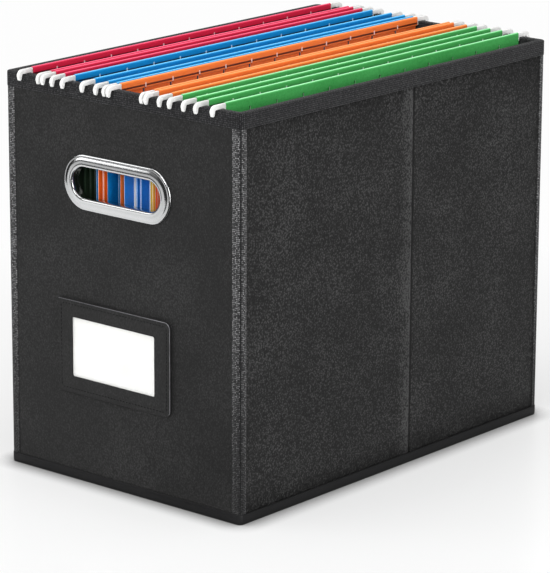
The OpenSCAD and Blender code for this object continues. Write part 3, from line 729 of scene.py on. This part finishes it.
label_thread = fibrous("label_thread", 0.6, 2600.0, ((0.3, paint(4, 4, 5)), (0.75, paint(20, 20, 21))),
                       depth=0.1 * mm, Specular_IOR_Level=0.1)
seam, left_seam, label_pitch = 3.0 * mm, 2.2 * mm, 2.6 * mm
label_stitches_along, label_stitches_up = 34, 21
label_stitch_l, label_stitch_w, label_stitch_out = 1.9 * mm, 0.55 * mm, 0.45 * mm
bm = bmesh.new()
for seam_z in (label_low.z + seam, label_high.z - seam):
    sew(bm, (label_low.x + 4 * mm, label_low.y, seam_z), (label_pitch, 0, 0), label_stitches_along,
        (label_stitch_l, label_stitch_out, label_stitch_w))
for seam_x in (label_high.x - seam, label_low.x + left_seam):
    sew(bm, (seam_x, label_low.y, label_low.z + 5 * mm), (0, 0, label_pitch), label_stitches_up,
        (label_stitch_w, label_stitch_out, label_stitch_l))
put_in_place("label_stitches", bm, label_thread, "box", "label_leatherette")

label_paper = fibrous("label_paper", 0.6, 1200.0,
                      ((0.3, paint(232, 232, 228)), (0.7, paint(250, 250, 248))), cloud=40.0,
                      depth=0.02 * mm)
dress(label_paper, "label_card")
film = new_finish("clear_film", (1.0, 1.0, 1.0), 0.05, Alpha=0.13, Specular_IOR_Level=0.7)
ripples = with_effect(film, fibre_effect, Grain=35.0, Cloud=12.0)
emboss(film, ripples.outputs["Height"], 0.3 * mm)
dress(film, "label_window")

# The eight hanging folders: coloured card, each one sheet folded at the bottom.
# An empty one hangs in a V, and one that holds a file has upright flaps and a wide flat bottom.
# Both top edges are turned down over a rod and glued, and a row of slots takes index tabs.
card_t, hem_half, hem_h, foot_r = 0.5 * mm, 0.85 * mm, 6.5 * mm, 1.2 * mm
empty_foot_half, usual_bow, widest_bow, waviness = 2.95 * mm, 1.1 * mm, 2.6 * mm, 1.3 * mm
slot_pitch, slot_w, slot_h, slots_a_side = 25.4 * mm, 1.6 * mm, 4.5 * mm, 5
# Each colour: its deep and usual card tones, and the colour of the painted highlight along its hems'
# crest.
folder_colours = (("red", paint(190, 14, 50), paint(218, 34, 72), paint(248, 98, 134)),
                  ("blue", paint(0, 112, 184), paint(4, 142, 214), paint(110, 205, 255)),
                  ("orange", paint(244, 100, 30), paint(255, 130, 56), paint(255, 168, 100)),
                  ("green", paint(50, 146, 66), paint(78, 180, 94), paint(168, 246, 184)))
folder_loaded = {"blue_folder_1", "orange_folder_1"}
# On the hems the colour is darkened by a painted shadow line below the rod, lightened by a painted
# highlight along the crest, and crossed by pale ticks in the card's core colour at the slots.
marks_effect, given = new_effect("hem_marks", Line_at=0.261, Pitch=slot_pitch, Crest_at=0.265)
across = wire(marks_effect, "SeparateXYZ", {"Vector": given["Vector"]}).outputs
line_off = sums("ABSOLUTE", sums("SUBTRACT", across["Z"], given["Line at"]))
painted_hem_shadow = span(line_off, 0.4 * mm, 0.8 * mm, 1.0, 0.0)
tick_off = sums("PINGPONG", across["Y"], sums("MULTIPLY", given["Pitch"], 0.5))
tick = sums("MULTIPLY", span(tick_off, 0.5 * mm, 0.8 * mm, 1.0, 0.0),
            span(line_off, 1.4 * mm, 1.9 * mm, 1.0, 0.0))
hem_shadow_off_ticks = sums("MULTIPLY", painted_hem_shadow, sums("SUBTRACT", 1.0, tick))
marked = sums("SUBTRACT", sums("ADD", 0.5, sums("MULTIPLY", tick, 0.5)),
              sums("MULTIPLY", hem_shadow_off_ticks, 0.5))
painted_crest_highlight = span(sums("SUBTRACT", across["Z"], given["Crest at"]), -0.1 * mm, 0.4 * mm, 0.0, 0.36)
give(marks_effect, sums("ADD", marked, painted_crest_highlight), marked)
for colour, deep, usual, crest_highlight_colour in folder_colours:
    core = tuple(0.25 * c + 0.68 for c in usual)
    card = fibrous(colour + "_card", 0.5, 800.0, ((0.3, deep), (0.6, usual)), cloud=14.0,
                   depth=0.05 * mm, rougher=0.65, Specular_IOR_Level=0.35)
    cut_edge = fibrous(colour + "_cut_edge", 0.8, 2000.0, ((0.3, usual), (0.62, core)))
    hem_card = new_finish(colour + "_hem", usual, 0.55, Specular_IOR_Level=0.35)
    marks = with_effect(hem_card, marks_effect)
    tint(hem_card, marks.outputs["Shade"], (0.05, tuple(c * 0.14 for c in deep)), (0.42, usual),
         (0.56, usual), (0.86, crest_highlight_colour), (1.0, core))
    emboss(hem_card, marks.outputs["Height"], 0.25 * mm)
    for number in (1, 2):
        folder = "%s_folder_%d" % (colour, number)
        low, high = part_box(folder + "_card")
        rods = [(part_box(folder + side)[0].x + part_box(folder + side)[1].x) / 2
                for side in ("_left_rod", "_right_rod")]
        middle = sum(rods) / 2
        hem_low = high.z - hem_h
        loaded = folder in folder_loaded
        fold_half = (rods[1] - rods[0]) / 2 + hem_half if loaded else empty_foot_half
        bow = 0.0 if loaded else (widest_bow if folder == "green_folder_2" else usual_bow)
        arc_z = high.z - card_t / 2 - hem_half
        half = [(rods[0] - hem_half + 0.52 * mm, hem_low), (rods[0] + hem_half, hem_low + 0.9 * mm)]
        half += [(rods[0] + hem_half * math.cos(math.radians(a)),
                  arc_z + hem_half * math.sin(math.radians(a))) for a in range(0, 181, 30)]
        foot = middle - fold_half
        flap_top = rods[0] - hem_half
        for height_z in (hem_low + 0.75 * mm, hem_low - slot_h):
            share = (hem_low - height_z) / (hem_low - low.z)
            half.append((flap_top + (foot - flap_top) * share, height_z))
        for share in (0.06, 0.13, 0.25, 0.4, 0.55, 0.7, 0.85, 0.95):
            half.append((flap_top + (foot - flap_top) * share - bow * math.sin(math.pi * share),
                         hem_low + (low.z + foot_r - hem_low) * share))
        half += [(foot, low.z + foot_r), (foot + 0.3 * mm, low.z + card_t / 2)]
        bm = bmesh.new()
        verts = [bm.verts.new((x, low.y, z)) for x, z in
                 half + [(2 * middle - x, z) for x, z in reversed(half)]]
        draw_out(bm, [bm.edges.new(pair) for pair in zip(verts, verts[1:])], (0, high.y - low.y, 0))
        for k in range(-slots_a_side, slots_a_side + 1):
            for side in (-1, 1):
                cut_across(bm, (0, k * slot_pitch + side * slot_w / 2, 0), (0, 1, 0))
        slots = []
        for face in bm.faces:
            at = face.calc_center_median()
            beside = abs(at.y - round(at.y / slot_pitch) * slot_pitch) < slot_w / 2
            within = abs(at.y) < (slots_a_side + 0.5) * slot_pitch
            if beside and within and hem_low - slot_h < at.z < hem_low + 0.8 * mm:
                slots.append(face)
        bmesh.ops.delete(bm, geom=slots, context="FACES")
        for vert in bm.verts:
            down = min(max((hem_low - vert.co.z) / (hem_low - low.z), 0.0), 1.0)
            if bow > 0.0 and down > 0.0:
                wave = noise.noise(Vector((vert.co.x * 30, vert.co.y * 14, 7.0 * number)))
                vert.co.x += waviness * wave * math.sin(math.pi * down)
        bmesh.ops.recalc_face_normals(bm, faces=bm.faces)
        piece = put_in_place(folder + "_sheet", bm, card, folder, colour + "_card", folder + "_card")
        piece.data.materials.append(cut_edge)
        piece.data.materials.append(hem_card)
        for face in piece.data.polygons:
            inside = abs(face.center.x - middle) < abs(rods[0] - middle)
            if face.center.z > high.z - 0.9 * mm or (inside and face.center.z > hem_low - 1.0 * mm):
                face.material_index = 2
        thick = piece.modifiers.new("card_thickness", "SOLIDIFY")
        thick.thickness = card_t
        thick.offset = 0.0
        thick.use_even_offset = True
        thick.material_offset_rim = 1
        piece.modifiers.new("even_shading", "WEIGHTED_NORMAL")

# The rods in the folders' hems: flat spring steel with white plastic hooks moulded on both ends.
# A hook's bar lies on the rim, its shoulder stands inside the tape, and its tip hangs outside.
coated = fibrous("coated_rod", 0.4, 300.0, ((0.3, paint(224, 224, 222)), (0.7, paint(244, 244, 243))),
                 cloud=80.0, depth=0.03 * mm)
hook_t = 2.0 * mm
rod_size, rod_z = (1.0 * mm, 298.4 * mm, 5.3 * mm), 262.25 * mm


def arc(centre_y, centre_z, radius, angles):
    """Points along an arc, as (y, z) in mm."""
    return [(centre_y + radius * math.cos(math.radians(a)), centre_z + radius * math.sin(math.radians(a)))
            for a in angles]


hook_outline = ([(149.0, 259.5), (150.2, 259.5), (150.2, 262.0)]
                + arc(157.7, 261.0, 1.0, (90, 67.5, 45, 22.5, 0))
                + arc(160.3, 259.1, 1.1, range(180, 361, 30))
                + arc(158.0, 261.0, 4.0, range(0, 91, 15)) + [(149.0, 265.0)])
for colour, _, _, _ in folder_colours:
    for number in (1, 2):
        for side in ("left", "right"):
            rod = "%s_folder_%d_%s_rod" % (colour, number, side)
            low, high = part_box(rod)
            rod_x = (low.x + high.x) / 2
            bm = bmesh.new()
            for end in (1, -1):
                face = bm.faces.new([bm.verts.new((rod_x - hook_t / 2, y * mm * end, z * mm))
                                     for y, z in hook_outline])
                thicken(bm, [face], (hook_t, 0, 0))
            bar = bmesh.ops.create_cube(bm, size=1.0)["verts"]
            bmesh.ops.scale(bm, vec=rod_size, verts=bar)
            bmesh.ops.translate(bm, vec=(rod_x, 0, rod_z), verts=bar)
            bmesh.ops.recalc_face_normals(bm, faces=bm.faces)
            round_edges(put_in_place(rod + "_moulded", bm, coated, "%s_folder_%d" % (colour, number),
                                     "coated_rod", rod), 0.35 * mm, 3, 35.0)

# The three files: card sleeves round stacks of plain letter sheets.
# Two are in folders, and the orange one stands on the base board between two folders.
# The sleeves are folded from coated card, and the bright ones have cut edges paler than their faces.
# The dark sleeve's near-black colour stands in for the deep shade seen through the hand hole.
sleeve_colours = (("dark_sleeve", paint(12, 30, 14), paint(22, 44, 24), "dark_sleeves"),
                  ("orange_sleeve", paint(248, 110, 20), paint(255, 132, 36), "orange_sleeves"),
                  ("blue_sleeve", paint(0, 116, 206), paint(10, 138, 232), "blue_sleeves"),
                  ("yellow_sleeve", paint(240, 206, 50), paint(252, 222, 74), "yellow_sleeve"))
for finish_name, deep, usual, node_name in sleeve_colours:
    sleeve = fibrous(finish_name, 0.5, 700.0, ((0.3, deep), (0.62, usual)), cloud=18.0, depth=0.05 * mm)
    dress(sleeve, node_name)
    if node_name != "dark_sleeves":
        pale = fibrous(finish_name + "_cut_edge", 0.8, 2000.0,
                       ((0.3, usual), (0.5, tuple(0.4 * c + 0.5 for c in usual))))
        cut_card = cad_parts[node_name]
        cut_card.data.materials.append(pale)
        cut_card.material_slots[-1].link = "OBJECT"
        cut_card.material_slots[-1].material = pale
        for face in cut_card.data.polygons:
            if abs(face.normal.y) > 0.9:
                face.material_index = len(cut_card.material_slots) - 1
ream_effect, given = new_effect("stacked_sheets", Sheet=0.3 * mm)
apart = wire(ream_effect, "SeparateXYZ", {"Vector": given["Vector"]})
leaf = wire(ream_effect, "TexNoise", {"W": sums("DIVIDE", apart.outputs["X"], given["Sheet"]),
                                      "Scale": 1.0, "Detail": 2.0}, noise_dimensions="1D").outputs["Fac"]
give(ream_effect, leaf, leaf)
white_paper = new_finish("white_paper", paint(238, 238, 234), 0.75)
stack = with_effect(white_paper, ream_effect)
tint(white_paper, stack.outputs["Shade"], (0.3, paint(206, 206, 200)), (0.65, paint(246, 246, 243)))
emboss(white_paper, stack.outputs["Height"], 0.1 * mm)
dress(white_paper, "dark_sheets", "orange_sheets", "blue_and_yellow_sheets")

dressed_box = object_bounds()
corners = [[[float(c) for c in corner] for corner in box] for box in (cad_box, dressed_box)]
